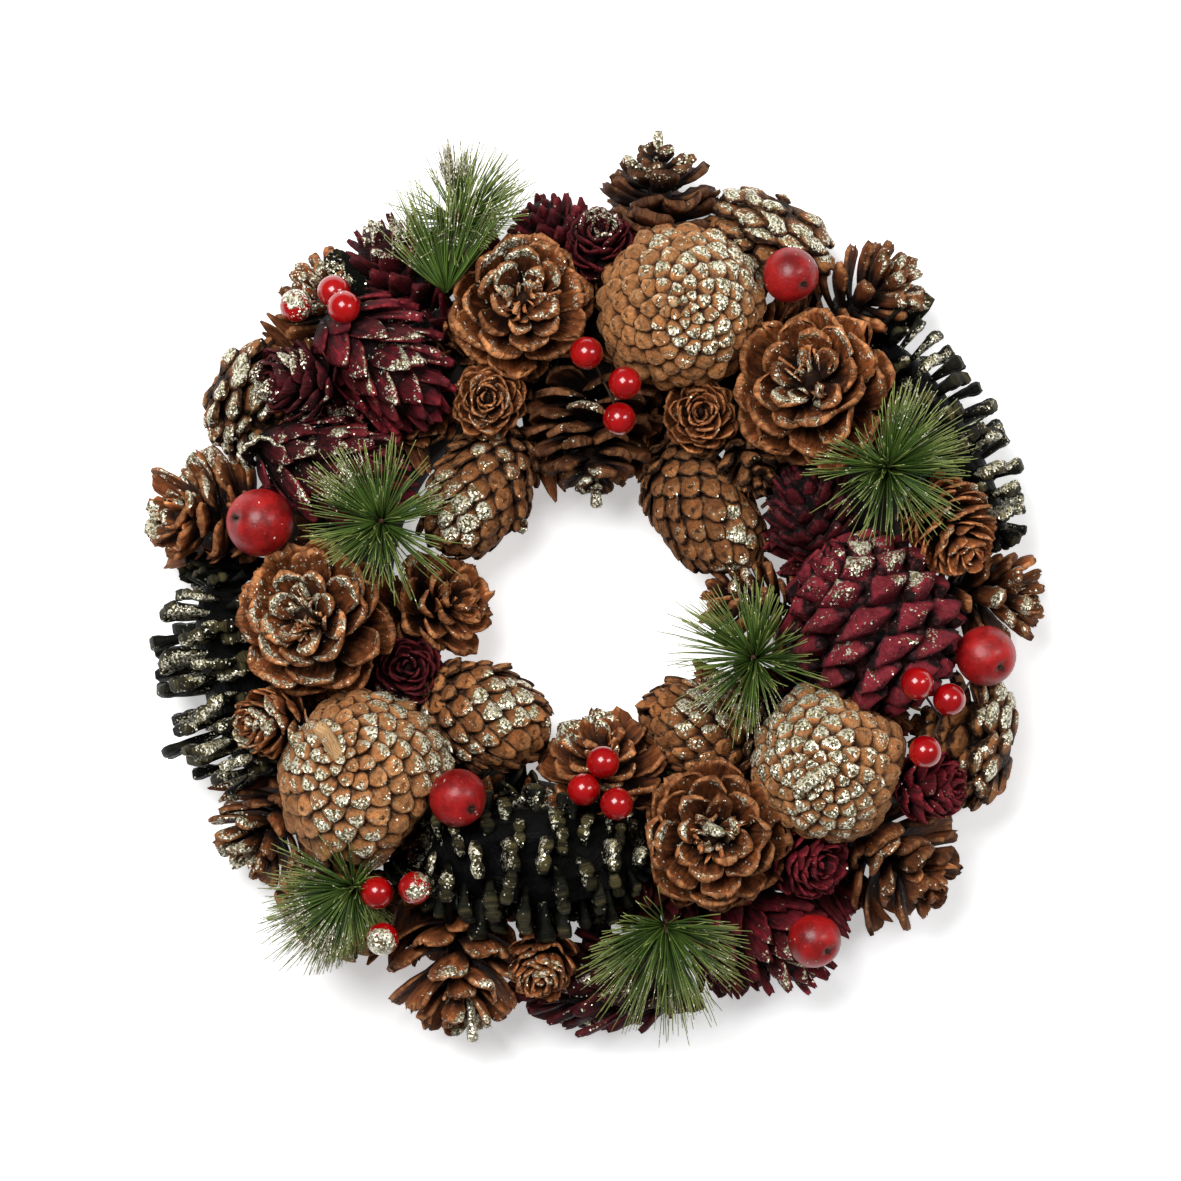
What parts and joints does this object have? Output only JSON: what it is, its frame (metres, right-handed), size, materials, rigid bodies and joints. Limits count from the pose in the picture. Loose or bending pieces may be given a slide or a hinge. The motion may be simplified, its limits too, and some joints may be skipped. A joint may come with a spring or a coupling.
{
  "type": "pinecone wreath",
  "caption": "Round decorative wreath lying on its back: pinecones, red berries and green needle sprays covering a straw ring with an open middle.",
  "frame": {"origin": "middle of the bounding box's underside, on the ring's flat back", "axes": "+Z out of the wreath's face, away from its flat back; +Y towards the top of the picture"},
  "size_m": [0.3376, 0.337, 0.1061],
  "materials": {
    "straw": "dark dry straw bound with twine, matte",
    "brown": "dry cone scales, warm brown with paler edges, champagne glitter on tips",
    "tan": "closed cone scales, light tan, patches of champagne glitter",
    "burgundy": "cones painted burgundy, satin, glitter on scale edges",
    "black_green": "cones painted near-black green, satin, glitter on scale tips",
    "needle_green": "thin green plastic needles, satin, frosted tips",
    "gloss_red": "glossy lacquered red berries on brown wires",
    "matte_red": "mottled dull red, slightly waxy"
  },
  "bodies": {
    "root": {"base_ring": "straw", "berry_pick_bottom": "gloss_red", "berry_pick_lower_left": "gloss_red", "berry_pick_right": "gloss_red", "berry_pick_top": "gloss_red", "berry_pick_upper_left": "gloss_red", "burgundy_cone_bottom": "burgundy", "burgundy_cone_left": "burgundy", "burgundy_cone_lower_right": "burgundy", "burgundy_cone_right": "burgundy", "burgundy_cone_top": "burgundy", "burgundy_cone_top_left": "burgundy", "burgundy_cone_upper_left": "burgundy", "burgundy_larch_inner_left": "burgundy", "burgundy_larch_right": "burgundy", "closed_cone_left": "tan", "closed_cone_right": "tan", "closed_cone_top": "tan", "cupped_cone_left": "tan", "cupped_cone_lower_left": "tan", "cupped_cone_right": "tan", "cupped_cone_top": "tan", "dark_cone_bottom": "black_green", "dark_cone_left": "black_green", "dark_cone_right": "black_green", "inner_cone_bottom": "brown", "inner_cone_left": "brown", "inner_cone_right": "brown", "inner_cone_top": "brown", "inner_half_cone_lower_left": "brown", "inner_half_cone_lower_right": "brown", "inner_half_cone_upper_left": "brown", "inner_half_cone_upper_right": "brown", "larch_cone_bottom": "brown", "larch_cone_left": "brown", "larch_cone_upper_left": "brown", "larch_cone_upper_right": "brown", "large_berry_bottom": "matte_red", "large_berry_left": "matte_red", "large_berry_lower_right": "matte_red", "large_berry_top": "matte_red", "needle_spray_bottom": "needle_green", "needle_spray_left": "needle_green", "needle_spray_lower_left": "needle_green", "needle_spray_right": "needle_green", "needle_spray_top_left": "needle_green", "needle_spray_upper_right": "needle_green", "open_cone_bottom_right": "brown", "open_cone_left": "brown", "open_cone_top_left": "brown", "open_cone_top_right": "brown", "rim_cone_bottom": "brown", "rim_cone_left": "brown", "rim_cone_lower_left": "brown", "rim_cone_lower_right": "brown", "rim_cone_right": "brown", "rim_cone_top": "brown", "rim_cone_top_left": "brown", "rim_cone_top_right": "brown", "thin_scaled_cone_right": "brown"}
  },
  "joints": []
}
